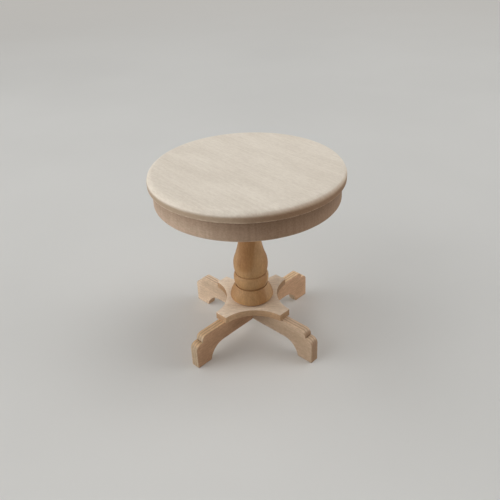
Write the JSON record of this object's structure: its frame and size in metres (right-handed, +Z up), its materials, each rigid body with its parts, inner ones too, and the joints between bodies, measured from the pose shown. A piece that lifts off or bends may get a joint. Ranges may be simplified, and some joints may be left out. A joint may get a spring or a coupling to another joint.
{
  "type": "miniature dining table",
  "caption": "Round dolls' house dining table: a board with an apron ring on a turned baluster column, a scalloped plate and crossed arched leg boards.",
  "frame": {"origin": "on the floor under the centre of the round top, on the column's axis", "axes": "+Z up along the column's axis; +X along the lower leg board and the grain of the top; +Y along the upper leg board"},
  "size_m": [0.049, 0.049, 0.05],
  "materials": {
    "top_wood": "bare wood, finely sanded, grain running straight across the board",
    "apron_wood": "bare wood, turned and lightly sanded, end grain darker than side grain",
    "block_wood": "bare wood, sawn",
    "column_wood": "bare honey-brown wood, turned on a lathe, grain lengthwise",
    "plate_wood": "bare pale wood, sawn and sanded",
    "leg_wood": "bare wood, sawn, with lengthwise lines on its edges"
  },
  "bodies": {
    "root": {"table_top": "top_wood", "apron_ring": "apron_wood", "top_block": "block_wood", "pedestal_column": "column_wood", "base_plate": "plate_wood", "upper_leg_board": "leg_wood", "lower_leg_board": "leg_wood"}
  },
  "joints": []
}
